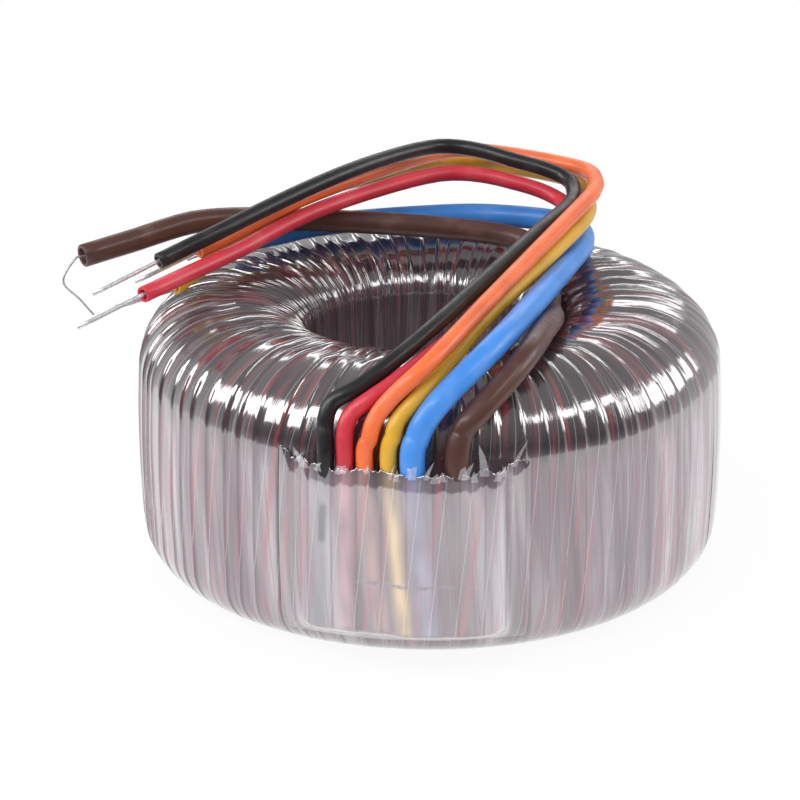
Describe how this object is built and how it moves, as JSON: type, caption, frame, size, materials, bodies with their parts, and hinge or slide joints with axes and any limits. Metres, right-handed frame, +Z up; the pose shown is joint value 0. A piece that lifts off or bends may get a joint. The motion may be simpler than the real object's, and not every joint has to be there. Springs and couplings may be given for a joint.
{
  "type": "toroidal transformer",
  "caption": "Ring-shaped mains transformer wrapped in clear tape, with coloured sleeved leads that rise over its shoulder, fold back above the hole and end in bare wires.",
  "frame": {"origin": "centre of the flat resting face under the ring", "axes": "+Z up along the axis of the ring, -Y towards the wall where the leads leave, +X to the right as seen from that side"},
  "size_m": [0.0902, 0.0857, 0.0508],
  "materials": {
    "core_strip": "dull",
    "cap_moulding": "matte",
    "winding": "enamelled",
    "inner_tape": "gloss",
    "wrap_film": "gloss",
    "cover_film": "milky gloss",
    "sleeve_black": "satin",
    "sleeve_red": "satin",
    "sleeve_orange": "satin",
    "sleeve_yellow": "satin",
    "sleeve_blue": "satin",
    "sleeve_brown": "satin",
    "tinned_wire": "tinned",
    "fine_wire": "tinned"
  },
  "bodies": {
    "root": {"core": "core_strip", "core_cap_lower": "cap_moulding", "core_cap_upper": "cap_moulding", "primary_winding": "winding", "interwinding_film": "inner_tape", "secondary_winding_1": "winding", "secondary_winding_2": "winding", "outer_wrap": "wrap_film", "lead_cover": "cover_film", "lead_black": "sleeve_black", "lead_red": "sleeve_red", "lead_orange": "sleeve_orange", "lead_yellow": "sleeve_yellow", "lead_blue": "sleeve_blue", "lead_brown": "sleeve_brown", "wire_end_black": "tinned_wire", "wire_end_red": "tinned_wire", "wire_end_orange": "tinned_wire", "wire_end_yellow": "tinned_wire", "wire_end_blue": "fine_wire", "wire_end_brown": "fine_wire"}
  },
  "joints": []
}
